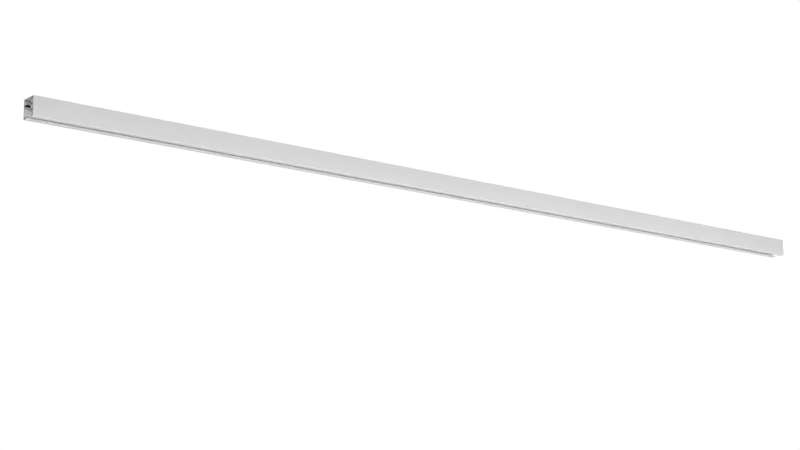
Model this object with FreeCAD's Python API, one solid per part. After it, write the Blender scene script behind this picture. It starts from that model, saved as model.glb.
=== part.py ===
import FreeCAD, Part
import math
import os

# Three-circuit lighting track, one stock length, slot downward.
# X runs along the track, Y across it, Z up to the ceiling. Millimetres.

# Outer size
LENGTH = 2000.0
WIDTH = 35.5
HEIGHT = 37.5
HALF = WIDTH / 2

# Aluminium section
SIDE_WALL = 1.6
TOP_WEB = 2.0
TOP_EDGE_R = 0.4
BOTTOM_EDGE_R = 1.2
CEILING_CORNER_R = 0.6
WALL_Y = HALF - SIDE_WALL
CEILING_Z = HEIGHT - TOP_WEB

# Lips along the slot, each with its edge turned up
LIP_REACH = 9.9
LIP_PLATE = 1.5
LIP_EDGE_R = 0.5
LIP_ROOT_R = 0.8
CURL_T = 1.5
CURL_H = 2.8
CURL_TOP_R = 0.6
CURL_ROOT_R = 0.4
LIP_Y = HALF - LIP_REACH

# Keying rib on the front lip, so that an adapter goes in only one way round
KEY_Y = 11.8
KEY_W = 3.2
KEY_H = 3.0
KEY_TOP_R = 0.5
KEY_ROOT_R = 0.3

# Ledges and hooks that hold an insulator in its pocket
POCKET_FACE_Y = 7.75
POCKET_CORNER_R = 0.3
LOW_LEDGE_Z = 15.2
HIGH_LEDGE_Z = 32.4
LEDGE_T = 1.3
LEDGE_NOSE_R = 0.6
LEDGE_ROOT_R = 0.4
HOOK_T = 1.2
HOOK_H = 2.2
HOOK_FACE_R = 0.4
HOOK_TIP_R = 0.3
HOOK_ROOT_R = 0.2
POCKET_LOW_Z = LOW_LEDGE_Z + LEDGE_T
POCKET_HIGH_Z = HIGH_LEDGE_Z - LEDGE_T
POCKET_MID_Z = (POCKET_LOW_Z + POCKET_HIGH_Z) / 2
HOOK_BACK_Y = POCKET_FACE_Y + HOOK_T

# Drilling groove along the middle of the ceiling
GROOVE_HALF_W = 0.5
GROOVE_DEPTH = 0.5

# Insulator: its fit in the pocket, its tongue between the hooks, its mouth and its conductor seats
FIT = 0.1
TONGUE_R = 0.3
SHOULDER_R = 0.4
SHOULDER_ROOT_R = 0.15
INSULATOR_BACK_R = 0.5
RELIEF_DEPTH = 0.9
RELIEF_H = 8.0
RELIEF_R = 0.3
MOUTH_H = 4.2
MOUTH_FLARE = 0.5
SEAT_R = 1.48
SEAT_Y = 12.0
SEAT_OFFSET_Z = 4.0
CHAMBER_W = 2.2

# Conductors and earth strip, set back from the sawn ends
CONDUCTOR_R = 1.45
SET_BACK = 0.3
EARTH_Y = 6.2
EARTH_W = 2.6
EARTH_T = 0.9
EARTH_EDGE_R = 0.2
EARTH_GAP = 0.05

# Ribs that hold the earth strip, each with a toe turned over its edge
RIB_T = 0.8
RIB_ROOT_R = 0.2
RIB_HEEL_R = 0.4
TOE_REACH = 0.45
TOE_H = 0.65
TOE_R = 0.25
TOE_TIP_R = 0.15

# Fixing slots in the top web, evenly spaced
FIXING_COUNT = 4
FIXING_PITCH = LENGTH / FIXING_COUNT
FIXING_W = 5.2
FIXING_L = 9.0

# How far a cutter stands clear of what it cuts, and the shortest edge of a section
OVERCUT = 1.0
SHORTEST_EDGE = 1e-6


def point(y, z):
    """A point of the cross-section, on the plane of the left sawn end."""
    return FreeCAD.Vector(-LENGTH / 2, y, z)


def rounded_face(corners):
    """A flat face through (y, z, radius) corners, each corner turned on its radius."""
    places = [point(y, z) for y, z, _ in corners]
    turns = []
    for i, (_, _, radius) in enumerate(corners):
        here = places[i]
        back = (places[i - 1] - here).normalize()
        ahead = (places[(i + 1) % len(places)] - here).normalize()
        half_angle = back.getAngle(ahead) / 2
        reach = radius / math.tan(half_angle)
        middle = (back + ahead).normalize()
        swell = radius / math.sin(half_angle) - radius
        turns.append((here + back * reach, here + middle * swell, here + ahead * reach))
    edges = []
    for i, (first, middle, last) in enumerate(turns):
        if corners[i][2] > 0:
            edges.append(Part.Arc(first, middle, last).toShape())
        following = turns[(i + 1) % len(turns)][0]
        if (following - last).Length > SHORTEST_EDGE:
            edges.append(Part.makeLine(last, following))
    return Part.Face(Part.Wire(edges))


def round_face(y, z, radius):
    """A flat disc of the cross-section."""
    ring = Part.Circle(point(y, z), FreeCAD.Vector(1, 0, 0), radius)
    return Part.Face(Part.Wire([ring.toShape()]))


def block_face(y0, y1, z0, z1):
    """A plain rectangle of the cross-section."""
    return rounded_face([(y0, z0, 0), (y1, z0, 0), (y1, z1, 0), (y0, z1, 0)])


def drawn(face, set_back=0.0):
    """The solid of a section drawn along the track, short of both sawn ends by set_back."""
    face.translate(FreeCAD.Vector(set_back, 0, 0))
    return face.extrude(FreeCAD.Vector(LENGTH - 2 * set_back, 0, 0))


def mirrored(shape):
    """The shape on the other side of the track's middle plane."""
    return shape.mirror(FreeCAD.Vector(0, 0, 0), FreeCAD.Vector(0, 1, 0))


def keying_rib():
    """Corners of the keying rib on top of a lip, from its slot side to its wall side."""
    near = KEY_Y - KEY_W / 2
    far = KEY_Y + KEY_W / 2
    top = LIP_PLATE + KEY_H
    return [
        (near, LIP_PLATE, KEY_ROOT_R),
        (near, top, KEY_TOP_R),
        (far, top, KEY_TOP_R),
        (far, LIP_PLATE, KEY_ROOT_R),
    ]


def lip(keyed):
    """Corners from the top edge down the outer wall and round the lip, keyed or plain."""
    edge = [
        (HALF, HEIGHT, TOP_EDGE_R),
        (HALF, 0, BOTTOM_EDGE_R),
        (LIP_Y, 0, LIP_EDGE_R),
        (LIP_Y, CURL_H, CURL_TOP_R),
        (LIP_Y + CURL_T, CURL_H, CURL_TOP_R),
        (LIP_Y + CURL_T, LIP_PLATE, CURL_ROOT_R),
    ]
    rib = keying_rib() if keyed else []
    return edge + rib + [(WALL_Y, LIP_PLATE, LIP_ROOT_R)]


def low_ledge():
    """Corners of the ledge and hook under the insulator."""
    tip = POCKET_LOW_Z + HOOK_H
    return [
        (WALL_Y, LOW_LEDGE_Z, LEDGE_ROOT_R),
        (POCKET_FACE_Y, LOW_LEDGE_Z, LEDGE_NOSE_R),
        (POCKET_FACE_Y, tip, HOOK_FACE_R),
        (HOOK_BACK_Y, tip, HOOK_TIP_R),
        (HOOK_BACK_Y, POCKET_LOW_Z, HOOK_ROOT_R),
        (WALL_Y, POCKET_LOW_Z, POCKET_CORNER_R),
    ]


def high_ledge():
    """Corners of the hook and ledge over the insulator, up to the ceiling."""
    tip = POCKET_HIGH_Z - HOOK_H
    return [
        (WALL_Y, POCKET_HIGH_Z, POCKET_CORNER_R),
        (HOOK_BACK_Y, POCKET_HIGH_Z, HOOK_ROOT_R),
        (HOOK_BACK_Y, tip, HOOK_TIP_R),
        (POCKET_FACE_Y, tip, HOOK_FACE_R),
        (POCKET_FACE_Y, HIGH_LEDGE_Z, LEDGE_NOSE_R),
        (WALL_Y, HIGH_LEDGE_Z, LEDGE_ROOT_R),
        (WALL_Y, CEILING_Z, CEILING_CORNER_R),
    ]


def earth_ribs():
    """Corners of the two ribs under the top web, their toes turned over the earth strip's edges."""
    inner = EARTH_W / 2 + EARTH_GAP
    toe_top = CEILING_Z - EARTH_T - EARTH_GAP
    toe_low = toe_top - TOE_H
    rib = [
        (inner + RIB_T, CEILING_Z, RIB_ROOT_R),
        (inner + RIB_T, toe_low, RIB_HEEL_R),
        (inner - TOE_REACH, toe_low, TOE_R),
        (inner - TOE_REACH, toe_top, TOE_TIP_R),
        (inner, toe_top, 0),
        (inner, CEILING_Z, 0),
    ]
    outer_rib = [(EARTH_Y + y, z, r) for y, z, r in rib]
    inner_rib = [(EARTH_Y - y, z, r) for y, z, r in reversed(rib)]
    return outer_rib + inner_rib


def groove():
    """Corners of the drilling groove along the ceiling."""
    return [
        (GROOVE_HALF_W, CEILING_Z, 0),
        (0, CEILING_Z + GROOVE_DEPTH, 0),
        (-GROOVE_HALF_W, CEILING_Z, 0),
    ]


def fixing_slot(x):
    """The cutter of one fixing slot through the top web, long way along the track."""
    reach = (FIXING_L - FIXING_W) / 2
    low = CEILING_Z - OVERCUT
    tall = TOP_WEB + 2 * OVERCUT
    slot = Part.makeBox(2 * reach, FIXING_W, tall, FreeCAD.Vector(x - reach, -FIXING_W / 2, low))
    for end in (-reach, reach):
        slot = slot.fuse(Part.makeCylinder(FIXING_W / 2, tall, FreeCAD.Vector(x + end, 0, low)))
    return slot.removeSplitter()


def track_profile():
    """The aluminium extrusion with its punched fixing slots."""
    pocket = low_ledge() + high_ledge()
    back = lip(keyed=False) + pocket
    front = [(-y, z, r) for y, z, r in reversed(lip(keyed=True) + pocket)]
    profile = drawn(rounded_face(back + earth_ribs() + groove() + front))
    first = -(FIXING_COUNT - 1) / 2 * FIXING_PITCH
    return profile.cut([fixing_slot(first + i * FIXING_PITCH) for i in range(FIXING_COUNT)])


def insulator_body():
    """The face of an insulator's section before its mouth and seats are cut."""
    low = POCKET_LOW_Z + FIT
    high = POCKET_HIGH_Z - FIT
    tongue_low = POCKET_LOW_Z + HOOK_H + FIT
    tongue_high = POCKET_HIGH_Z - HOOK_H - FIT
    relief_low = POCKET_MID_Z - RELIEF_H / 2
    relief_high = POCKET_MID_Z + RELIEF_H / 2
    front_y = POCKET_FACE_Y + FIT
    shoulder_y = HOOK_BACK_Y + FIT
    back_y = WALL_Y - FIT
    return rounded_face([
        (front_y, tongue_low, TONGUE_R),
        (front_y, tongue_high, TONGUE_R),
        (shoulder_y, tongue_high, SHOULDER_ROOT_R),
        (shoulder_y, high, SHOULDER_R),
        (back_y, high, INSULATOR_BACK_R),
        (back_y, relief_high, RELIEF_R),
        (back_y - RELIEF_DEPTH, relief_high, RELIEF_R),
        (back_y - RELIEF_DEPTH, relief_low, RELIEF_R),
        (back_y, relief_low, RELIEF_R),
        (back_y, low, INSULATOR_BACK_R),
        (shoulder_y, low, SHOULDER_R),
        (shoulder_y, tongue_low, SHOULDER_ROOT_R),
    ])


def insulator_mouth():
    """The face that cuts an insulator's mouth, flared where contacts go in, back to its seats."""
    front_y = POCKET_FACE_Y + FIT
    outside_y = front_y - OVERCUT
    throat_y = front_y + MOUTH_FLARE
    throat = MOUTH_H / 2
    flare = throat + MOUTH_FLARE + OVERCUT
    return rounded_face([
        (outside_y, POCKET_MID_Z - flare, 0),
        (throat_y, POCKET_MID_Z - throat, 0),
        (SEAT_Y, POCKET_MID_Z - throat, 0),
        (SEAT_Y, POCKET_MID_Z + throat, 0),
        (throat_y, POCKET_MID_Z + throat, 0),
        (outside_y, POCKET_MID_Z + flare, 0),
    ])


def insulator_back():
    """The insulating strip: a tongue between the hooks, one mouth, a seat above and one below."""
    chamber = block_face(
        SEAT_Y - CHAMBER_W / 2,
        SEAT_Y + CHAMBER_W / 2,
        POCKET_MID_Z - SEAT_OFFSET_Z,
        POCKET_MID_Z + SEAT_OFFSET_Z,
    )
    seats = [round_face(SEAT_Y, POCKET_MID_Z + way * SEAT_OFFSET_Z, SEAT_R) for way in (-1, 1)]
    section = insulator_body().cut([insulator_mouth(), chamber] + seats)
    return drawn(section.Faces[0])


def conductor_back(way):
    """A round copper conductor in the upper (1) or lower (-1) seat of the back insulator."""
    return drawn(round_face(SEAT_Y, POCKET_MID_Z + way * SEAT_OFFSET_Z, CONDUCTOR_R), SET_BACK)


def earth_strip():
    """The flat copper earth strip between the ribs under the top web."""
    near = EARTH_Y - EARTH_W / 2
    far = EARTH_Y + EARTH_W / 2
    low = CEILING_Z - EARTH_T
    strip = rounded_face([
        (near, low, EARTH_EDGE_R),
        (far, low, EARTH_EDGE_R),
        (far, CEILING_Z, 0),
        (near, CEILING_Z, 0),
    ])
    return drawn(strip, SET_BACK)


def main():
    """Build each piece and save it under its own name."""
    upper = conductor_back(1)
    lower = conductor_back(-1)
    strip = insulator_back()
    pieces = {
        "track_profile": track_profile(),
        "insulator_front": mirrored(strip),
        "insulator_back": strip,
        "conductor_front_upper": mirrored(upper),
        "conductor_front_lower": mirrored(lower),
        "conductor_back_upper": upper,
        "conductor_back_lower": lower,
        "earth_strip": earth_strip(),
    }
    os.makedirs("parts", exist_ok=True)
    for name, shape in pieces.items():
        solid = shape.Solids[0]
        print(name, len(shape.Solids), solid.isValid(), round(solid.Volume / 1000, 2), "cm3")
        solid.exportStep("parts/" + name + ".step")


main()
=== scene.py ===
import logging
import math
from abc import ABC, abstractmethod
from dataclasses import dataclass, field
from enum import Enum
from typing import ClassVar, Dict, List, Mapping, Optional, Sequence, Tuple, Union

import bpy
from mathutils import Matrix, Vector


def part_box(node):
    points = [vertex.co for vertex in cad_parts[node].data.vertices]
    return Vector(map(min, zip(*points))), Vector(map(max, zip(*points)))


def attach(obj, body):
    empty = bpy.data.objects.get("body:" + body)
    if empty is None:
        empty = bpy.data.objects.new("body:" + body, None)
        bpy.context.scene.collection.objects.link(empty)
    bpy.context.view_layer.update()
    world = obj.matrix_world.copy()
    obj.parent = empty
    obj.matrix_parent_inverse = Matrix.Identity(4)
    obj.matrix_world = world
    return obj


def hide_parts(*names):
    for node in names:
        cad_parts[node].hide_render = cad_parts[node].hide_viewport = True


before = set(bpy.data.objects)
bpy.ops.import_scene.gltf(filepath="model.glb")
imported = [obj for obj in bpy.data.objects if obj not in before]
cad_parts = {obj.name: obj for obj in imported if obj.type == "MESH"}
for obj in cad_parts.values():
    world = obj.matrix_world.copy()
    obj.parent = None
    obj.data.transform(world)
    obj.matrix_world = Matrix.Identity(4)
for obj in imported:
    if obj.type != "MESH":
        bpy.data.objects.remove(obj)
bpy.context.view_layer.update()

LOG = logging.getLogger("lighting_track")
BODY = "root"
MM = 0.001
WHITE = (1.0, 1.0, 1.0, 1.0)

Pair = Tuple[float, float]
Triple = Tuple[float, float, float]
Point = Pair
Corner = Triple
Colour = Triple
Value = Union[float, "Signal"]


class Slot(Enum):
    """The record's material slots."""

    WHITE_COAT = "white_coat"
    INSULATOR = "insulator"
    TINNED_COPPER = "tinned_copper"


class Side(Enum):
    """The two side walls, as the sign of Y."""

    FRONT = -1
    BACK = 1


class Seat(Enum):
    """The two conductor seats of an insulator, as the way from its mouth."""

    UPPER = 1
    LOWER = -1


# Node sheets

class Signal:
    """A number on a node sheet, with Python's operators as Math nodes."""

    def __init__(self, sheet: "NodeSheet", socket: bpy.types.NodeSocket) -> None:
        """Keep the sheet and the output socket that gives the number."""
        self.sheet = sheet
        self.socket = socket

    def _math(self, operation: str, *values: Value) -> "Signal":
        """Add one Math node and return its result."""
        node = self.sheet.add("ShaderNodeMath", {"operation": operation}, dict(enumerate(values)))
        return Signal(self.sheet, node.outputs[0])

    def __add__(self, other: Value) -> "Signal":
        """Return self + other."""
        return self._math("ADD", self, other)

    def __radd__(self, other: Value) -> "Signal":
        """Return other + self."""
        return self._math("ADD", other, self)

    def __sub__(self, other: Value) -> "Signal":
        """Return self - other."""
        return self._math("SUBTRACT", self, other)

    def __rsub__(self, other: Value) -> "Signal":
        """Return other - self."""
        return self._math("SUBTRACT", other, self)

    def __mul__(self, other: Value) -> "Signal":
        """Return self * other."""
        return self._math("MULTIPLY", self, other)

    def __rmul__(self, other: Value) -> "Signal":
        """Return other * self."""
        return self._math("MULTIPLY", other, self)

    def __abs__(self) -> "Signal":
        """Return self without its sign."""
        return self._math("ABSOLUTE", self)

    def __gt__(self, other: Value) -> "Signal":
        """Return 1 where self is above other, and 0 elsewhere."""
        return self._math("GREATER_THAN", self, other)

    def __lt__(self, other: Value) -> "Signal":
        """Return 1 where self is below other, and 0 elsewhere."""
        return self._math("LESS_THAN", self, other)

    def most(self, other: Value) -> "Signal":
        """Return the larger of self and other."""
        return self._math("MAXIMUM", self, other)

    def least(self, other: Value) -> "Signal":
        """Return the smaller of self and other."""
        return self._math("MINIMUM", self, other)

    def root(self) -> "Signal":
        """Return the square root of self."""
        return self._math("SQRT", self)

    def wave(self) -> "Signal":
        """Return the sine of self."""
        return self._math("SINE", self)

    def wrapped(self, length: float) -> "Signal":
        """Return what is left of self after whole lengths, never below zero."""
        return self._math("FLOORED_MODULO", self, length)

    def ramp(self, low: float, high: float) -> "Signal":
        """Return 0 at low and 1 at high, straight between and level beyond."""
        return ((self - low) * (1.0 / (high - low))).most(0.0).least(1.0)

    def share(self) -> "Signal":
        """Return a wave from -1 to 1 as a share from 0 to 1."""
        return self * 0.5 + 0.5


class NodeSheet:
    """A node tree with one way to put a node on it."""

    def __init__(self, tree: bpy.types.NodeTree) -> None:
        """Keep the tree that the nodes go on."""
        self.tree = tree

    def add(
        self,
        kind: str,
        settings: Optional[Mapping[str, object]] = None,
        sockets: Optional[Mapping[Union[int, str], object]] = None,
    ) -> bpy.types.Node:
        """Put one node on the sheet.

        Args:
            kind: the node's type.
            settings: the node's properties, set before its sockets.
            sockets: a value, Signal or output socket for each input, by name or place.

        Returns:
            The new node.
        """
        node = self.tree.nodes.new(kind)
        for name, value in (settings or {}).items():
            setattr(node, name, value)
        for key, value in (sockets or {}).items():
            source = value.socket if isinstance(value, Signal) else value
            if isinstance(source, bpy.types.NodeSocket):
                self.tree.links.new(source, node.inputs[key])
            else:
                node.inputs[key].default_value = source
        return node

    def vector(self, x: Value, y: Value, z: Value) -> bpy.types.NodeSocket:
        """Return the vector of three numbers."""
        return self.add("ShaderNodeCombineXYZ", sockets={0: x, 1: y, 2: z}).outputs[0]

    def parts(self, vector: bpy.types.NodeSocket) -> List[Signal]:
        """Return a vector's three numbers."""
        split = self.add("ShaderNodeSeparateXYZ", sockets={0: vector})
        return [Signal(self, output) for output in split.outputs]


class FinishSheet(NodeSheet):
    """The node sheet of one material, read in the piece's own Object coordinates."""

    # Places of a colour Mix node's sockets
    MIX_SHARE: ClassVar[int] = 0
    MIX_FIRST: ClassVar[int] = 6
    MIX_SECOND: ClassVar[int] = 7
    MIX_RESULT: ClassVar[int] = 2

    def __init__(self, name: str) -> None:
        """Start a material with an empty sheet.

        Args:
            name: the material's name.
        """
        self.material = bpy.data.materials.new(name)
        self.material.use_nodes = True
        super().__init__(self.material.node_tree)
        self.tree.nodes.clear()
        self.place = self.add("ShaderNodeTexCoord").outputs["Object"]

    def noise(self, size: Triple, detail: float = 2.0) -> Signal:
        """Return smooth noise between 0 and 1.

        Args:
            size: the length of its grains along X, Y and Z, in metres.
            detail: how many finer layers it has.

        Returns:
            The noise.
        """
        stretch = tuple(1.0 / length for length in size)
        place = self.add("ShaderNodeMapping", sockets={"Vector": self.place, "Scale": stretch})
        sockets = {"Vector": place.outputs[0], "Scale": 1.0, "Detail": detail}
        return Signal(self, self.add("ShaderNodeTexNoise", sockets=sockets).outputs["Fac"])

    def mix(self, share: Value, first: object, second: object) -> bpy.types.NodeSocket:
        """Mix two colours.

        Args:
            share: 0 for the first colour and 1 for the second.
            first: a plain colour, or the socket that gives it.
            second: a plain colour, or the socket that gives it.

        Returns:
            The mixed colour.
        """
        mixed = self.add("ShaderNodeMix", {"data_type": "RGBA"}, {
            self.MIX_SHARE: share,
            self.MIX_FIRST: self._shade(first),
            self.MIX_SECOND: self._shade(second),
        })
        return mixed.outputs[self.MIX_RESULT]

    def close(
        self,
        colour: bpy.types.NodeSocket,
        roughness: Signal,
        metallic: Value,
        height: Signal,
        sheen: float = 0.5,
    ) -> bpy.types.Material:
        """End the sheet in the surface.

        Args:
            colour: the base colour.
            roughness: the roughness.
            metallic: 1 for bare metal and 0 for anything else.
            height: the relief in metres.
            sheen: the strength of its plain reflections, 0.5 for a hard gloss.

        Returns:
            The finished material.
        """
        sockets = {"Strength": 1.0, "Distance": 1.0, "Height": height}
        relief = self.add("ShaderNodeBump", sockets=sockets)
        surface = self.add("ShaderNodeBsdfPrincipled", sockets={
            "Base Color": colour,
            "Roughness": roughness,
            "Metallic": metallic,
            "Specular IOR Level": sheen,
            "Normal": relief.outputs[0],
        })
        self.add("ShaderNodeOutputMaterial", sockets={"Surface": surface.outputs[0]})
        return self.material

    @staticmethod
    def _shade(colour: object) -> object:
        """Give a plain colour its fourth number, and pass a socket on."""
        return (*colour, 1.0) if isinstance(colour, tuple) else colour


class ShapeTree(NodeSheet):
    """A Geometry Nodes tree with named inputs, ending in Realize Instances and Set Material."""

    def __init__(self, name: str) -> None:
        """Start a tree that takes a geometry and a material.

        Args:
            name: the tree's name.
        """
        super().__init__(bpy.data.node_groups.new(name, "GeometryNodeTree"))
        self.inputs: Dict[str, str] = {}
        self.entry = self.add("NodeGroupInput")
        self._socket("Geometry", "NodeSocketGeometry", "OUTPUT")
        self.geometry = self.input("Geometry", "NodeSocketGeometry")
        self.finish = self.input("Finish", "NodeSocketMaterial")

    def _socket(self, name: str, kind: str, way: str) -> bpy.types.NodeTreeInterfaceSocket:
        """Add a socket of the tree itself, for INPUT or for OUTPUT."""
        return self.tree.interface.new_socket(name, in_out=way, socket_type=kind)

    def input(self, name: str, kind: str) -> bpy.types.NodeSocket:
        """Add a named input of one socket type, and return the socket with its value."""
        self.inputs[name] = self._socket(name, kind, "INPUT").identifier
        return self.entry.outputs[name]

    def size(self, name: str) -> Signal:
        """Add a named size in metres and return its value."""
        return Signal(self, self.input(name, "NodeSocketFloat"))

    def close(self, geometry: bpy.types.NodeSocket) -> None:
        """End the tree in one real mesh with its finish.

        Args:
            geometry: the finished shape.
        """
        real = self.add("GeometryNodeRealizeInstances", sockets={"Geometry": geometry})
        sockets = {"Geometry": real.outputs[0], "Material": self.finish}
        dressed = self.add("GeometryNodeSetMaterial", sockets=sockets)
        self.add("NodeGroupOutput", sockets={0: dressed.outputs[0]})

    def put_on(self, piece: bpy.types.Object, values: Mapping[str, object]) -> None:
        """Give a piece this tree as a modifier.

        Args:
            piece: the object that holds the tree's starting geometry.
            values: the value of each named input.
        """
        modifier = piece.modifiers.new(self.tree.name, "NODES")
        modifier.node_group = self.tree
        for name, value in values.items():
            modifier[self.inputs[name]] = value


class DrawnTree(ShapeTree):
    """Draws a flat section along the track, and marks the edges that the saw leaves."""

    EDGE_MARK: ClassVar[str] = "bevel_weight_edge"
    END_GRIP: ClassVar[float] = 0.02 * MM
    END_SHARE: ClassVar[float] = 0.5
    LAID_ALONG_X: ClassVar[Triple] = (math.pi / 2, 0.0, math.pi / 2)

    def __init__(self, name: str) -> None:
        """Build the tree.

        Args:
            name: the tree's name.
        """
        super().__init__(name)
        self.length = self.size("Length")
        solid, cut_edges = self.punched(self.drawn())
        self.close(self.marked(solid, cut_edges))

    def drawn(self) -> bpy.types.NodeSocket:
        """Draw the section along the whole length.

        Returns:
            The closed solid.
        """
        section = self.add("GeometryNodeMeshToCurve", sockets={"Mesh": self.geometry})
        half = self.length * 0.5
        path = self.add("GeometryNodeCurvePrimitiveLine", {"mode": "POINTS"}, {
            "Start": self.vector(0.0, 0.0, 0.0 - half),
            "End": self.vector(0.0, 0.0, half),
        })
        upright = self.add("GeometryNodeCurveToMesh", sockets={
            "Curve": path.outputs[0],
            "Profile Curve": section.outputs[0],
            "Fill Caps": True,
        })
        sockets = {"Geometry": upright.outputs[0], "Rotation": self.LAID_ALONG_X}
        return self.add("GeometryNodeTransform", sockets=sockets).outputs[0]

    def punched(
        self, solid: bpy.types.NodeSocket
    ) -> Tuple[bpy.types.NodeSocket, Optional[Signal]]:
        """Leave the solid whole; a tree with holes overrides this."""
        return solid, None

    def marked(
        self, solid: bpy.types.NodeSocket, cut_edges: Optional[Signal]
    ) -> bpy.types.NodeSocket:
        """Mark the edges to be rounded.

        Args:
            solid: the drawn solid.
            cut_edges: 1 on the edges of holes, where there are any.

        Returns:
            The solid with a bevel weight on its edges.
        """
        x = self.parts(self.add("GeometryNodeInputPosition").outputs[0])[0]
        weight = abs(x) > self.length * 0.5 - self.END_GRIP
        if cut_edges is not None:
            weight = weight * self.END_SHARE + cut_edges
        settings = {"data_type": "FLOAT", "domain": "EDGE"}
        sockets = {"Geometry": solid, "Name": self.EDGE_MARK, "Value": weight}
        return self.add("GeometryNodeStoreNamedAttribute", settings, sockets).outputs[0]


class PunchedTree(DrawnTree):
    """Draws a section, and punches a row of round-ended slots through its top web."""

    ROUND_SIDES: ClassVar[int] = 32
    WEBS_DEEP: ClassVar[float] = 2.0

    def punched(
        self, solid: bpy.types.NodeSocket
    ) -> Tuple[bpy.types.NodeSocket, Optional[Signal]]:
        """Punch the slots.

        Args:
            solid: the drawn solid.

        Returns:
            The punched solid, and 1 on the rims of the slots on the top face.
        """
        count = Signal(self, self.input("Slot Count", "NodeSocketInt"))
        spacing = self.size("Slot Spacing")
        width = self.size("Slot Width")
        reach = self.size("Slot Reach")
        web = self.size("Web")
        top = self.size("Top")
        ends = self.add("GeometryNodeMeshLine", {"mode": "OFFSET"}, {
            "Count": 2,
            "Start Location": self.vector(0.0 - reach, 0.0, 0.0),
            "Offset": self.vector(reach * 2.0, 0.0, 0.0),
        })
        punch = self.add("GeometryNodeMeshCylinder", sockets={
            "Vertices": self.ROUND_SIDES,
            "Radius": width * 0.5,
            "Depth": web * self.WEBS_DEEP,
        })
        pair = self.repeated(ends, punch)
        slot = self.add("GeometryNodeConvexHull", sockets={"Geometry": pair.outputs[0]})
        row = self.add("GeometryNodeMeshLine", {"mode": "OFFSET"}, {
            "Count": count,
            "Start Location": self.vector((1.0 - count) * spacing * 0.5, 0.0, top - web * 0.5),
            "Offset": self.vector(spacing, 0.0, 0.0),
        })
        cutters = self.repeated(row, slot)
        settings = {"operation": "DIFFERENCE", "solver": "EXACT"}
        sockets = {"Mesh 1": solid, "Mesh 2": cutters.outputs[0]}
        pierced = self.add("GeometryNodeMeshBoolean", settings, sockets)
        z = self.parts(self.add("GeometryNodeInputPosition").outputs[0])[2]
        rim = Signal(self, pierced.outputs["Intersecting Edges"])
        return pierced.outputs[0], rim * (z > top - self.END_GRIP)

    def repeated(self, points: bpy.types.Node, shape: bpy.types.Node) -> bpy.types.Node:
        """Put a shape on each point, as real meshes.

        Args:
            points: the node that gives the points.
            shape: the node that gives the shape.

        Returns:
            The node that gives the meshes.
        """
        sockets = {"Points": points.outputs[0], "Instance": shape.outputs[0]}
        copies = self.add("GeometryNodeInstanceOnPoints", sockets=sockets)
        return self.add("GeometryNodeRealizeInstances", sockets={"Geometry": copies.outputs[0]})


# Sizes

@dataclass(frozen=True)
class FixingSlots:
    """The row of fixing slots in the top web, in millimetres."""

    count: int = 4
    spacing: float = 500.0
    width: float = 5.2
    length: float = 9.0

    @property
    def reach(self) -> float:
        """Half the distance between the centres of a slot's round ends."""
        return (self.length - self.width) / 2


@dataclass(frozen=True)
class Section:
    """Sizes of the track's cross-section, in millimetres; Y across, Z up from the lips."""

    half_width: float
    height: float
    # Walls and top web
    side_wall: float = 1.6
    top_web: float = 2.0
    top_edge_r: float = 0.4
    bottom_edge_r: float = 1.2
    ceiling_corner_r: float = 0.6
    groove_half_w: float = 0.5
    groove_depth: float = 0.5
    # Lips and keying rib
    lip_reach: float = 9.9
    lip_plate: float = 1.5
    lip_edge_r: float = 0.5
    lip_root_r: float = 0.8
    curl_t: float = 1.5
    curl_h: float = 2.8
    curl_top_r: float = 0.6
    curl_root_r: float = 0.4
    key_y: float = 11.8
    key_w: float = 3.2
    key_h: float = 3.0
    key_top_r: float = 0.5
    key_root_r: float = 0.3
    # Ledges and hooks of the pockets
    pocket_face_y: float = 7.75
    pocket_corner_r: float = 0.3
    low_ledge_z: float = 15.2
    high_ledge_z: float = 32.4
    ledge_t: float = 1.3
    ledge_nose_r: float = 0.6
    ledge_root_r: float = 0.4
    hook_t: float = 1.2
    hook_h: float = 2.2
    hook_face_r: float = 0.4
    hook_tip_r: float = 0.3
    hook_root_r: float = 0.2
    # Insulating strips and conductors
    fit: float = 0.1
    tongue_r: float = 0.3
    shoulder_r: float = 0.4
    shoulder_root_r: float = 0.15
    strip_back_r: float = 0.5
    relief_depth: float = 0.9
    relief_h: float = 8.0
    relief_r: float = 0.3
    mouth_h: float = 4.2
    mouth_flare: float = 0.5
    chamber_w: float = 2.2
    seat_r: float = 1.48
    seat_y: float = 12.0
    seat_offset_z: float = 4.0
    conductor_r: float = 1.45
    # Earth strip and its ribs
    earth_y: float = 6.2
    earth_w: float = 2.6
    earth_t: float = 0.9
    earth_edge_r: float = 0.2
    earth_gap: float = 0.05
    rib_t: float = 0.8
    rib_root_r: float = 0.2
    rib_heel_r: float = 0.4
    toe_reach: float = 0.45
    toe_h: float = 0.65
    toe_r: float = 0.25
    toe_tip_r: float = 0.15

    @property
    def wall_y(self) -> float:
        """The inner face of a side wall."""
        return self.half_width - self.side_wall

    @property
    def ceiling_z(self) -> float:
        """The underside of the top web."""
        return self.height - self.top_web

    @property
    def lip_y(self) -> float:
        """The edge of a lip along the slot."""
        return self.half_width - self.lip_reach

    @property
    def pocket_low_z(self) -> float:
        """The floor of an insulator's pocket."""
        return self.low_ledge_z + self.ledge_t

    @property
    def pocket_high_z(self) -> float:
        """The roof of an insulator's pocket."""
        return self.high_ledge_z - self.ledge_t

    @property
    def pocket_mid_z(self) -> float:
        """The height of an insulator's mouth."""
        return (self.pocket_low_z + self.pocket_high_z) / 2

    @property
    def hook_back_y(self) -> float:
        """The face of a hook that holds the insulator."""
        return self.pocket_face_y + self.hook_t

    @property
    def strip_face_y(self) -> float:
        """The face of an insulator along the channel."""
        return self.pocket_face_y + self.fit


# The most that one facet of an arc turns, and the fewest facets of an arc
FACET = math.radians(12)
FEWEST_FACETS = 2


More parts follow.
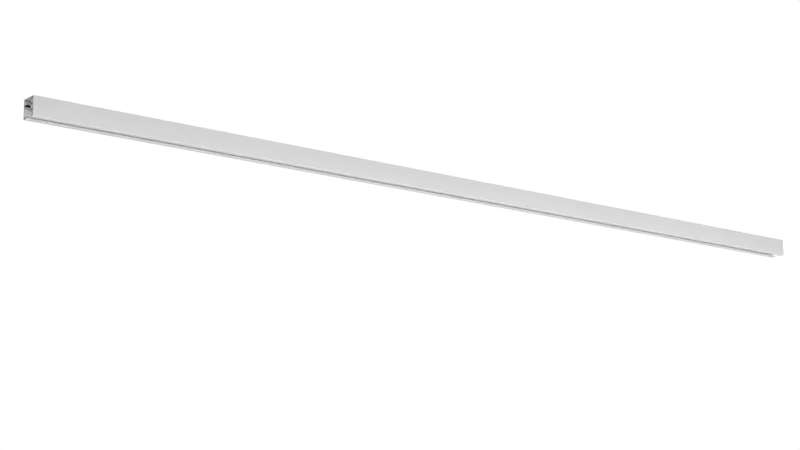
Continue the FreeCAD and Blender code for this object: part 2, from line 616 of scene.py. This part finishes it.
def arc(centre: Point, radius: float, start: float, turn: float) -> List[Point]:
    """Return the points of an arc.

    Args:
        centre: its centre.
        radius: its radius.
        start: the angle it starts at.
        turn: the angle it turns through, positive the way from Y to Z.

    Returns:
        Its points, both ends among them.
    """
    steps = max(FEWEST_FACETS, math.ceil(abs(turn) / FACET))
    angles = [start + turn * step / steps for step in range(steps + 1)]
    return [(centre[0] + radius * math.cos(a), centre[1] + radius * math.sin(a)) for a in angles]


def rounded(corners: Sequence[Corner]) -> List[Point]:
    """Return a closed outline through (y, z, radius) corners, each turned on its radius.

    Args:
        corners: the corners in order; a radius of 0 leaves one sharp.

    Returns:
        The outline's points.
    """
    points: List[Point] = []
    for index, (y, z, radius) in enumerate(corners):
        if not radius:
            points.append((y, z))
            continue
        here = Vector((y, z))
        back = (Vector(corners[index - 1][:2]) - here).normalized()
        ahead = (Vector(corners[(index + 1) % len(corners)][:2]) - here).normalized()
        half = back.angle(ahead) / 2
        centre = here + (back + ahead).normalized() * (radius / math.sin(half))
        first = here + back * (radius / math.tan(half)) - centre
        turn = math.copysign(math.pi - 2 * half, back.y * ahead.x - back.x * ahead.y)
        points += arc(tuple(centre), radius, math.atan2(first.y, first.x), turn)
    return points


def mirrored(corners: Sequence[Corner], middle: float = 0.0) -> List[Corner]:
    """Return corners on the other side of a line up the section, in reverse order."""
    return [(2 * middle - y, z, r) for y, z, r in reversed(corners)]


def upturned(corners: Sequence[Corner], level: float) -> List[Corner]:
    """Return corners on the other side of a line across the section, in reverse order."""
    return [(y, 2 * level - z, r) for y, z, r in reversed(corners)]


def counterclockwise(points: Sequence[Point]) -> List[Point]:
    """Return a closed outline's points in the order that turns from Y to Z."""
    area = sum(a[0] * b[1] - b[0] * a[1] for a, b in zip(points, [*points[1:], points[0]]))
    return list(points) if area > 0 else list(reversed(points))


# Finishes

@dataclass(frozen=True)
class Finish(ABC):
    """A finish, with the place of the sawn ends of the piece that wears it."""

    half_length: float
    saw_centre: Point = (-140.0 * MM, -70.0 * MM)
    saw_pitch: float = 0.38 * MM
    saw_depth: float = 0.004 * MM
    saw_edge: float = 0.05 * MM
    saw_shake: float = 5.0
    saw_shake_size: Triple = (1.0, 3.0 * MM, 3.0 * MM)

    @abstractmethod
    def material(self) -> bpy.types.Material:
        """Return the finish as a material."""

    def sawn(self, x: Signal) -> Signal:
        """Return 1 on the two sawn ends."""
        return abs(x) > self.half_length - self.saw_edge

    def saw_marks(self, sheet: FinishSheet, y: Signal, z: Signal) -> Signal:
        """Return the blade's fine arcs over a sawn end.

        Args:
            sheet: the material's sheet.
            y: place across the track.
            z: place up the track.

        Returns:
            A wave between -1 and 1.
        """
        across = y - self.saw_centre[0]
        up = z - self.saw_centre[1]
        radius = (across * across + up * up).root()
        shake = sheet.noise(self.saw_shake_size)
        return (radius * (2 * math.pi / self.saw_pitch) + shake * self.saw_shake).wave()

    def relief(self, skin: Signal, marks: Signal, cut: Signal) -> Signal:
        """Return the height of the skin, and of the saw's marks where it is cut away."""
        return skin * (1.0 - cut) + marks * cut * self.saw_depth


@dataclass(frozen=True)
class WhiteCoat(Finish):
    """White powder coat on drawn aluminium, bare where saw and punch have cut it."""

    section: Section = field(kw_only=True)
    slots: FixingSlots = field(default_factory=FixingSlots)
    coat: Colour = (0.80, 0.80, 0.797)
    coat_shade: Colour = (0.775, 0.775, 0.775)
    # Greyer coat, mixed in higher up inside the channel.
    channel_grey: Colour = (0.68, 0.682, 0.685)
    metal: Colour = (0.34, 0.342, 0.347)
    metal_bright: Colour = (0.39, 0.392, 0.397)
    metallic: float = 0.85
    sheen: float = 0.25
    roughness: float = 0.44
    peel_roughness: float = 0.1
    channel_roughness: float = 0.08
    bare_polish: float = 0.04
    mottle_size: Triple = (90.0 * MM, 30.0 * MM, 30.0 * MM)
    mottle_span: Pair = (0.3, 0.7)
    peel_size: Triple = (1.1 * MM, 1.1 * MM, 1.1 * MM)
    peel_depth: float = 0.006 * MM
    die_line_size: Triple = (260.0 * MM, 0.7 * MM, 0.7 * MM)
    die_line_depth: float = 0.003 * MM
    channel_depth_heights: Pair = (13.0 * MM, 34.0 * MM)
    channel_grey_base: float = 0.75
    channel_grey_lines: float = 0.5
    chip: float = 0.15 * MM
    margin: float = 0.1

    def material(self) -> bpy.types.Material:
        """Make the coat, its greyer and rougher part high in the channel, and the bare metal.

        Returns:
            The finish as a material.
        """
        sheet = FinishSheet("white_powder_coat")
        x, y, z = sheet.parts(sheet.place)
        bare = self.sawn(x).most(self.punched(x, y, z))
        channel_depth = self.inside(y, z)
        mottle = sheet.noise(self.mottle_size, detail=3.0)
        peel = sheet.noise(self.peel_size, detail=3.0)
        die_lines = sheet.noise(self.die_line_size)
        marks = self.saw_marks(sheet, y, z)
        coat = sheet.mix(mottle.ramp(*self.mottle_span), self.coat_shade, self.coat)
        # The coat turns greyer higher up inside the channel, streaked along the die lines.
        channel_grey_share = channel_depth * (self.channel_grey_base + die_lines * self.channel_grey_lines)
        coat = sheet.mix(channel_grey_share, coat, self.channel_grey)
        metal = sheet.mix(marks.share(), self.metal, self.metal_bright)
        colour = sheet.mix(bare, coat, metal)
        roughness = self.roughness + peel * self.peel_roughness
        roughness = roughness + channel_depth * self.channel_roughness - bare * self.bare_polish
        skin = peel * self.peel_depth + die_lines * channel_depth * self.die_line_depth
        height = self.relief(skin, marks, bare)
        return sheet.close(colour, roughness, bare * self.metallic, height, self.sheen)

    def punched(self, x: Signal, y: Signal, z: Signal) -> Signal:
        """Find the walls of the fixing slots and their chipped rims.

        Args:
            x: place along the track.
            y: place across it.
            z: place up it.

        Returns:
            1 there, and 0 elsewhere.
        """
        spacing = self.slots.spacing * MM
        along = (abs(x.wrapped(spacing) - spacing / 2) - self.slots.reach * MM).most(0.0)
        gap = (along * along + y * y).root()
        near = gap < self.slots.width / 2 * MM + self.chip
        return near * (z > (self.section.ceiling_z - self.margin) * MM)

    def inside(self, y: Signal, z: Signal) -> Signal:
        """Find how far up inside the channel a point is, where the coat turns greyer and rougher
        and shows die lines.

        Args:
            y: place across the track.
            z: place up it.

        Returns:
            0 outside and at the lips, rising to 1 deep in the channel.
        """
        within = abs(y) < (self.section.wall_y + self.margin) * MM
        below = z < (self.section.ceiling_z + self.section.groove_depth) * MM
        return z.ramp(*self.channel_depth_heights) * within * below


@dataclass(frozen=True)
class DrawnPlastic(Finish):
    """Grey rigid plastic with die lines along it, frosted where it is sawn."""

    section: Section = field(kw_only=True)
    body: Colour = (0.74, 0.742, 0.745)
    body_shade: Colour = (0.69, 0.692, 0.695)
    frost: Colour = (0.84, 0.842, 0.845)
    frost_shade: Colour = (0.78, 0.782, 0.785)
    # Painted shade: black for the inside of the deep mouth and seats.
    mouth_shade_black: Colour = (0.022, 0.022, 0.024)
    roughness: float = 0.46
    cloud_roughness: float = 0.1
    sawn_roughness: float = 0.2
    die_line_size: Triple = (180.0 * MM, 0.35 * MM, 0.35 * MM)
    die_line_depth: float = 0.005 * MM
    die_line_share: float = 0.6
    cloud_size: Triple = (40.0 * MM, 12.0 * MM, 12.0 * MM)
    cloud_share: float = 0.4
    throat_margin: float = 0.05
    chamber_margin: float = 0.1

    def material(self) -> bpy.types.Material:
        """Make the drawn plastic, the black painted shade in its mouth, and its frosted ends.

        Returns:
            The finish as a material.
        """
        sheet = FinishSheet("grey_insulator_plastic")
        x, y, z = sheet.parts(sheet.place)
        sawn = self.sawn(x)
        die_lines = sheet.noise(self.die_line_size, detail=3.0)
        cloud = sheet.noise(self.cloud_size)
        marks = self.saw_marks(sheet, y, z)
        shade = die_lines * self.die_line_share + cloud * self.cloud_share
        drawn = sheet.mix(shade, self.body_shade, self.body)
        # Painted shade: the mouth and seats are painted black, for the shade deep in them.
        drawn = sheet.mix(self.mouth(y, z), drawn, self.mouth_shade_black)
        cut = sheet.mix(marks.share(), self.frost_shade, self.frost)
        colour = sheet.mix(sawn, drawn, cut)
        roughness = self.roughness + cloud * self.cloud_roughness + sawn * self.sawn_roughness
        height = self.relief(die_lines * self.die_line_depth, marks, sawn)
        return sheet.close(colour, roughness, metallic=0.0, height=height)

    def mouth(self, y: Signal, z: Signal) -> Signal:
        """Find the inside of the mouth and of the conductor seats, which are painted black as
        shade.

        Args:
            y: place across the track.
            z: place up it.

        Returns:
            1 there, and 0 elsewhere.
        """
        s = self.section
        deep = abs(y) > (s.strip_face_y + s.mouth_flare) * MM
        near = abs(y) < (s.seat_y + s.seat_r) * MM
        level = abs(z - s.pocket_mid_z * MM)
        throat = level < (s.mouth_h / 2 + self.throat_margin) * MM
        beyond = abs(y) > (s.seat_y + s.chamber_w / 2 - self.chamber_margin) * MM
        back = beyond * (level < s.seat_offset_z * MM)
        return deep * near * throat.most(back)


@dataclass(frozen=True)
class TinnedCopper(Finish):
    """Drawn copper under a thin coat of tin, dull along its length and paler where it is cut."""

    bright: Colour = (0.68, 0.672, 0.655)
    tarnish: Colour = (0.47, 0.462, 0.45)
    core: Colour = (0.73, 0.67, 0.63)
    roughness: float = 0.26
    dull_roughness: float = 0.2
    sawn_roughness: float = 0.08
    draw_line_size: Triple = (120.0 * MM, 0.2 * MM, 0.2 * MM)
    draw_line_depth: float = 0.003 * MM
    draw_line_share: float = 0.3
    cloud_size: Triple = (35.0 * MM, 4.0 * MM, 4.0 * MM)
    cloud_span: Pair = (0.35, 0.7)
    cloud_share: float = 0.7

    def material(self) -> bpy.types.Material:
        """Make the dull tin and the paler cut ends.

        Returns:
            The finish as a material.
        """
        sheet = FinishSheet("drawn_tinned_copper")
        x, y, z = sheet.parts(sheet.place)
        sawn = self.sawn(x)
        draw_lines = sheet.noise(self.draw_line_size)
        cloud = sheet.noise(self.cloud_size, detail=4.0)
        marks = self.saw_marks(sheet, y, z)
        clouded = cloud.ramp(*self.cloud_span) * self.cloud_share
        dull = (clouded + draw_lines * self.draw_line_share) * (1.0 - sawn)
        colour = sheet.mix(sawn, sheet.mix(dull, self.bright, self.tarnish), self.core)
        roughness = self.roughness + dull * self.dull_roughness + sawn * self.sawn_roughness
        height = self.relief(draw_lines * self.draw_line_depth, marks, sawn)
        return sheet.close(colour, roughness, metallic=1.0, height=height)


# Pieces

@dataclass
class DrawnPiece(ABC):
    """A piece drawn through a die: one section along the track, deburred at its sawn ends."""

    section: Section
    tree: DrawnTree
    finish: bpy.types.Material
    deburr: float = 0.12

    DEBURR_STEPS: ClassVar[int] = 2
    SMOOTH_BELOW: ClassVar[float] = math.radians(28)
    FLAT_FACES_FIRST: ClassVar[int] = 100

    @property
    @abstractmethod
    def name(self) -> str:
        """The piece's name."""

    @property
    @abstractmethod
    def node(self) -> str:
        """The CAD node that the piece stands for."""

    @property
    @abstractmethod
    def slot(self) -> Slot:
        """The record's material slot."""

    @abstractmethod
    def outline(self) -> List[Point]:
        """Return the section's closed outline, in millimetres."""

    def sizes(self) -> Dict[str, object]:
        """Return the values of the tree's inputs."""
        low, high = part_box(self.node)
        return {"Finish": self.finish, "Length": high.x - low.x}

    def build(self) -> bpy.types.Object:
        """Build the piece's mesh in place.

        Returns:
            The piece as a plain mesh object at the origin.
        """
        outline = counterclockwise(self.outline())
        mesh = bpy.data.meshes.new(self.name)
        ring = [(index, (index + 1) % len(outline)) for index in range(len(outline))]
        mesh.from_pydata([(y * MM, z * MM, 0.0) for y, z in outline], ring, [])
        piece = bpy.data.objects.new(self.name, mesh)
        bpy.context.scene.collection.objects.link(piece)
        self.tree.put_on(piece, self.sizes())
        bevel = piece.modifiers.new("deburr", "BEVEL")
        bevel.limit_method = "WEIGHT"
        bevel.width = self.deburr * MM
        bevel.segments = self.DEBURR_STEPS
        bevel.use_clamp_overlap = False
        self.make_plain(piece)
        self.shade(piece)
        return piece

    def make_plain(self, piece: bpy.types.Object) -> None:
        """Turn a piece's modifiers into its own mesh.

        Args:
            piece: the object to make plain.
        """
        graph = bpy.context.evaluated_depsgraph_get()
        shaped = bpy.data.meshes.new_from_object(piece.evaluated_get(graph), depsgraph=graph)
        piece.modifiers.clear()
        drawing = piece.data
        piece.data = shaped
        bpy.data.meshes.remove(drawing)
        shaped.name = self.name

    def shade(self, piece: bpy.types.Object) -> None:
        """Shade a piece smooth over its rounded edges and level on its flat faces.

        Args:
            piece: the object to shade.
        """
        mesh = piece.data
        marks = mesh.attributes.get(DrawnTree.EDGE_MARK)
        if marks is not None:
            mesh.attributes.remove(marks)
        mesh.shade_smooth()
        mesh.set_sharp_from_angle(angle=self.SMOOTH_BELOW)
        level = piece.modifiers.new("level_faces", "WEIGHTED_NORMAL")
        level.mode = "FACE_AREA"
        level.weight = self.FLAT_FACES_FIRST
        level.keep_sharp = True
        self.make_plain(piece)

    def dress(self) -> bpy.types.Object:
        """Build the piece and tie it to the frame.

        Returns:
            The finished piece.
        """
        piece = self.build()
        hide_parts(self.node)
        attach(piece, BODY)
        self.slot.value
        LOG.info("%s: %d faces, %s", self.name, len(piece.data.polygons), self.finish.name)
        return piece


@dataclass
class TrackProfile(DrawnPiece):
    """The coated aluminium extrusion with its punched fixing slots."""

    slots: FixingSlots = field(default_factory=FixingSlots)
    deburr: float = 0.24

    name: ClassVar[str] = "coated_profile"
    node: ClassVar[str] = "track_profile"
    slot: ClassVar[Slot] = Slot.WHITE_COAT

    def outline(self) -> List[Point]:
        """Join the walls, the lips, the pockets, the earth ribs and the groove.

        Returns:
            The section's closed outline, in millimetres.
        """
        s = self.section
        ledge = self.ledge()
        pocket = [*ledge, *upturned(ledge, s.pocket_mid_z)]
        pocket.append((s.wall_y, s.ceiling_z, s.ceiling_corner_r))
        back = self.lip([]) + pocket
        front = mirrored(self.lip(self.keying_rib()) + pocket)
        return rounded(back + self.earth_ribs() + self.groove() + front)

    def keying_rib(self) -> List[Corner]:
        """Draw the rib that lets an adapter in only one way round.

        Returns:
            Its corners in order.
        """
        s = self.section
        near = s.key_y - s.key_w / 2
        top = s.lip_plate + s.key_h
        half = [(near, s.lip_plate, s.key_root_r), (near, top, s.key_top_r)]
        return half + mirrored(half, s.key_y)

    def lip(self, rib: List[Corner]) -> List[Corner]:
        """Draw the wall from its top edge down, and round the lip.

        Args:
            rib: the corners of a rib on top of the lip, if it has one.

        Returns:
            The corners in order.
        """
        s = self.section
        return [
            (s.half_width, s.height, s.top_edge_r),
            (s.half_width, 0.0, s.bottom_edge_r),
            (s.lip_y, 0.0, s.lip_edge_r),
            (s.lip_y, s.curl_h, s.curl_top_r),
            (s.lip_y + s.curl_t, s.curl_h, s.curl_top_r),
            (s.lip_y + s.curl_t, s.lip_plate, s.curl_root_r),
            *rib,
            (s.wall_y, s.lip_plate, s.lip_root_r),
        ]

    def ledge(self) -> List[Corner]:
        """Draw the ledge and hook under the insulator.

        Returns:
            Their corners in order.
        """
        s = self.section
        hook_top = s.pocket_low_z + s.hook_h
        return [
            (s.wall_y, s.low_ledge_z, s.ledge_root_r),
            (s.pocket_face_y, s.low_ledge_z, s.ledge_nose_r),
            (s.pocket_face_y, hook_top, s.hook_face_r),
            (s.hook_back_y, hook_top, s.hook_tip_r),
            (s.hook_back_y, s.pocket_low_z, s.hook_root_r),
            (s.wall_y, s.pocket_low_z, s.pocket_corner_r),
        ]

    def earth_ribs(self) -> List[Corner]:
        """Draw the two ribs whose toes hold the earth strip.

        Returns:
            Their corners in order.
        """
        s = self.section
        inner = s.earth_y + s.earth_w / 2 + s.earth_gap
        toe_top = s.ceiling_z - s.earth_t - s.earth_gap
        toe_low = toe_top - s.toe_h
        rib = [
            (inner + s.rib_t, s.ceiling_z, s.rib_root_r),
            (inner + s.rib_t, toe_low, s.rib_heel_r),
            (inner - s.toe_reach, toe_low, s.toe_r),
            (inner - s.toe_reach, toe_top, s.toe_tip_r),
            (inner, toe_top, 0.0),
            (inner, s.ceiling_z, 0.0),
        ]
        return rib + mirrored(rib, s.earth_y)

    def groove(self) -> List[Corner]:
        """Draw the drilling groove along the ceiling.

        Returns:
            Its corners in order.
        """
        s = self.section
        return [
            (s.groove_half_w, s.ceiling_z, 0.0),
            (0.0, s.ceiling_z + s.groove_depth, 0.0),
            (-s.groove_half_w, s.ceiling_z, 0.0),
        ]

    def sizes(self) -> Dict[str, object]:
        """Add the slots' sizes to the values of the tree's inputs.

        Returns:
            The values by name.
        """
        return {
            **super().sizes(),
            "Slot Count": self.slots.count,
            "Slot Spacing": self.slots.spacing * MM,
            "Slot Width": self.slots.width * MM,
            "Slot Reach": self.slots.reach * MM,
            "Web": self.section.top_web * MM,
            "Top": self.section.height * MM,
        }


@dataclass
class Insulator(DrawnPiece):
    """An insulating strip: a tongue between the hooks, one mouth, and two conductor seats."""

    side: Side = Side.BACK

    slot: ClassVar[Slot] = Slot.INSULATOR

    @property
    def name(self) -> str:
        """The piece's name."""
        return self.side.name.lower() + "_insulating_strip"

    @property
    def node(self) -> str:
        """The CAD node that the piece stands for."""
        return "insulator_" + self.side.name.lower()

    def outline(self) -> List[Point]:
        """Return the section's closed outline, in millimetres."""
        return [(self.side.value * y, z) for y, z in rounded(self.body() + self.mouth())]

    def body(self) -> List[Corner]:
        """Draw the outside, from above the mouth round the back to below it.

        Returns:
            Its corners in order.
        """
        s = self.section
        top = s.pocket_high_z - s.fit
        tongue_top = top - s.hook_h
        shoulder = s.hook_back_y + s.fit
        back = s.wall_y - s.fit
        relief_top = s.pocket_mid_z + s.relief_h / 2
        upper = [
            (s.strip_face_y, tongue_top, s.tongue_r),
            (shoulder, tongue_top, s.shoulder_root_r),
            (shoulder, top, s.shoulder_r),
            (back, top, s.strip_back_r),
            (back, relief_top, s.relief_r),
            (back - s.relief_depth, relief_top, s.relief_r),
        ]
        return upper + upturned(upper, s.pocket_mid_z)

    def mouth(self) -> List[Corner]:
        """Draw the mouth, its chamber and the two round seats, from below up.

        Returns:
            Their corners in order.
        """
        s = self.section
        mid = s.pocket_mid_z
        floor = mid - s.mouth_h / 2
        open_angle = math.asin(s.chamber_w / 2 / s.seat_r)
        start = math.pi / 2 + open_angle
        turn = 2 * (math.pi - open_angle)
        seat = arc((s.seat_y, mid - s.seat_offset_z), s.seat_r, start, turn)
        lower = [
            (s.strip_face_y, floor - s.mouth_flare, 0.0),
            (s.strip_face_y + s.mouth_flare, floor, 0.0),
            (s.seat_y - s.chamber_w / 2, floor, 0.0),
            *[(y, z, 0.0) for y, z in seat],
        ]
        return lower + upturned(lower, mid)


@dataclass
class Conductor(DrawnPiece):
    """A round copper conductor in one seat of an insulator."""

    side: Side = Side.BACK
    seat: Seat = Seat.UPPER

    slot: ClassVar[Slot] = Slot.TINNED_COPPER

    @property
    def name(self) -> str:
        """The piece's name."""
        return f"{self.side.name}_{self.seat.name}_copper_rod".lower()

    @property
    def node(self) -> str:
        """The CAD node that the piece stands for."""
        return f"conductor_{self.side.name}_{self.seat.name}".lower()

    def outline(self) -> List[Point]:
        """Draw the rod's circle.

        Returns:
            The section's closed outline, in millimetres.
        """
        s = self.section
        z = s.pocket_mid_z + self.seat.value * s.seat_offset_z
        return arc((self.side.value * s.seat_y, z), s.conductor_r, 0.0, 2 * math.pi)[:-1]


@dataclass
class EarthStrip(DrawnPiece):
    """The flat copper earth strip between the ribs under the top web."""

    name: ClassVar[str] = "earth_copper_strip"
    node: ClassVar[str] = "earth_strip"
    slot: ClassVar[Slot] = Slot.TINNED_COPPER

    def outline(self) -> List[Point]:
        """Draw the strip, round along its two lower edges.

        Returns:
            The section's closed outline, in millimetres.
        """
        s = self.section
        low = s.ceiling_z - s.earth_t
        left = s.earth_y - s.earth_w / 2
        half = [(left, s.ceiling_z, 0.0), (left, low, s.earth_edge_r)]
        return rounded(half + mirrored(half, s.earth_y))


# Studio

@dataclass(frozen=True)
class Lamp:
    """A soft rectangular lamp: where it hangs, what it points at, its size and its power."""

    name: str
    place: Triple
    aim: Triple
    size: Pair
    power: float

    def hang(self) -> None:
        """Put the lamp in the scene."""
        data = bpy.data.lights.new(self.name, "AREA")
        data.shape = "RECTANGLE"
        data.size, data.size_y = self.size
        data.energy = self.power
        lamp = bpy.data.objects.new(self.name, data)
        lamp.location = self.place
        way = Vector(self.aim) - Vector(self.place)
        lamp.rotation_euler = way.to_track_quat("-Z", "Y").to_euler()
        lamp.visible_camera = False
        bpy.context.scene.collection.objects.link(lamp)


@dataclass
class Studio:
    """A pale floor, a white surround, and soft lamps: five below the floor and one high behind."""

    ambient: float = 0.12
    floor_half: float = 30.0
    floor_gap: float = 0.2 * MM
    floor_colour: Colour = (0.90, 0.90, 0.90)
    floor_glow: float = 0.50
    white_from: float = 1.5
    white_at: float = 7.0
    lamps: Tuple[Lamp, ...] = (
        Lamp("front_lamp", (0.7, -2.4, -2.7), (0.1, 0.0, 0.0), (3.8, 2.4), 59.0),
        Lamp("right_lamp", (1.5, -3.1, -1.1), (0.5, 0.0, 0.0), (1.6, 0.2), 12.0),
        Lamp("strip_lamp", (-0.045, -0.25, -0.12), (-0.045, 0.0, 0.02), (2.41, 0.06), 1.95),
        Lamp("under_lamp", (0.0, -0.4, -3.2), (0.0, 0.0, 0.0), (3.4, 1.2), 12.5),
        Lamp("end_lamp", (-3.45, -0.8, -1.15), (-1.0, 0.0, 0.0), (1.2, 1.5), 12.8),
        Lamp("back_lamp", (0.5, 5.6, 6.2), (0.0, 0.0, 0.0), (6.0, 6.0), 820.0),
    )

    SEE_WHITE: ClassVar[Tuple[str, ...]] = (
        "Is Camera Ray",
        "Is Glossy Ray",
        "Is Transmission Ray",
    )

    def build(self) -> None:
        """Set the surround, the floor and the lamps."""
        bpy.context.scene.view_settings.view_transform = "Standard"
        self.surround()
        self.floor()
        for lamp in self.lamps:
            lamp.hang()

    def surround(self) -> None:
        """Light the scene evenly, and show white to the camera and in reflections."""
        world = bpy.data.worlds.new("white_surround")
        world.use_nodes = True
        bpy.context.scene.world = world
        sheet = NodeSheet(world.node_tree)
        sheet.tree.nodes.clear()
        rays = sheet.add("ShaderNodeLightPath").outputs
        camera, glossy, through = [Signal(sheet, rays[name]) for name in self.SEE_WHITE]
        shown = camera.most(glossy).most(through)
        strength = shown * (1.0 - self.ambient) + self.ambient
        sockets = {"Color": WHITE, "Strength": strength}
        white = sheet.add("ShaderNodeBackground", sockets=sockets)
        sheet.add("ShaderNodeOutputWorld", sockets={"Surface": white.outputs[0]})

    def floor(self) -> None:
        """Lay the floor just under the lips."""
        half = self.floor_half
        mesh = bpy.data.meshes.new("pale_floor")
        corners = [(-half, -half), (half, -half), (half, half), (-half, half)]
        mesh.from_pydata([(x, y, -self.floor_gap) for x, y in corners], [], [(0, 1, 2, 3)])
        mesh.materials.append(self.floor_finish())
        floor = bpy.data.objects.new("pale_floor", mesh)
        bpy.context.scene.collection.objects.link(floor)

    def floor_finish(self) -> bpy.types.Material:
        """Make a floor that keeps shadows, turns white further off, and is clear from below.

        Returns:
            The floor's material, also clear to everything but the camera.
        """
        sheet = FinishSheet("pale_floor")
        reach = sheet.add("ShaderNodeVectorMath", {"operation": "LENGTH"}, {0: sheet.place})
        far = Signal(sheet, reach.outputs["Value"]).ramp(self.white_from, self.white_at)
        camera = Signal(sheet, sheet.add("ShaderNodeLightPath").outputs["Is Camera Ray"])
        below = Signal(sheet, sheet.add("ShaderNodeNewGeometry").outputs["Backfacing"])
        clear = sheet.add("ShaderNodeBsdfTransparent")
        shaded = sheet.add("ShaderNodeBsdfDiffuse", sockets={"Color": (*self.floor_colour, 1.0)})
        glow = sheet.add("ShaderNodeEmission", sockets={"Color": WHITE, "Strength": 1.0})
        pale = sheet.add("ShaderNodeMixShader", sockets={
            0: far * (1.0 - self.floor_glow) + self.floor_glow,
            1: shaded.outputs[0],
            2: glow.outputs[0],
        })
        shown = sheet.add("ShaderNodeMixShader", sockets={
            0: camera * (1.0 - below),
            1: clear.outputs[0],
            2: pale.outputs[0],
        })
        sheet.add("ShaderNodeOutputMaterial", sockets={"Surface": shown.outputs[0]})
        return sheet.material


@dataclass
class Viewpoint:
    """The camera, below the track and off its left end, looking up along it."""

    place: Triple = (-2.34912, -2.71276, -0.87721)
    yaw: float = 38.7234
    pitch: float = 12.917
    roll: float = -0.63255
    lens: float = 79.767
    clip: Pair = (0.05, 200.0)

    def build(self) -> None:
        """Put the camera in the scene."""
        data = bpy.data.cameras.new("viewpoint")
        data.lens = self.lens
        data.sensor_fit = "HORIZONTAL"
        data.clip_start, data.clip_end = self.clip
        camera = bpy.data.objects.new("viewpoint", data)
        heading = Matrix.Rotation(-math.radians(self.yaw), 4, "Z")
        tilt = Matrix.Rotation(math.radians(90.0 + self.pitch), 4, "X")
        twist = Matrix.Rotation(math.radians(self.roll), 4, "Z")
        camera.matrix_world = Matrix.Translation(self.place) @ heading @ tilt @ twist
        bpy.context.scene.collection.objects.link(camera)
        bpy.context.scene.camera = camera


def main() -> None:
    """Build the track's pieces in order, then the studio and the camera."""
    logging.basicConfig(level=logging.INFO, format="%(message)s")
    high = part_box(TrackProfile.node)[1]
    copper_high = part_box(EarthStrip.node)[1]
    section = Section(half_width=high.y / MM, height=high.z / MM)

    coat = WhiteCoat(half_length=high.x, section=section).material()
    plastic = DrawnPlastic(half_length=high.x, section=section).material()
    copper = TinnedCopper(half_length=copper_high.x).material()
    drawn = DrawnTree("drawn_section")

    TrackProfile(section, PunchedTree("punched_section"), coat).dress()
    for side in Side:
        Insulator(section, drawn, plastic, side=side).dress()
        for seat in Seat:
            Conductor(section, drawn, copper, side=side, seat=seat).dress()
    EarthStrip(section, drawn, copper).dress()

    Studio().build()
    Viewpoint().build()


if __name__ == "__main__":
    main()
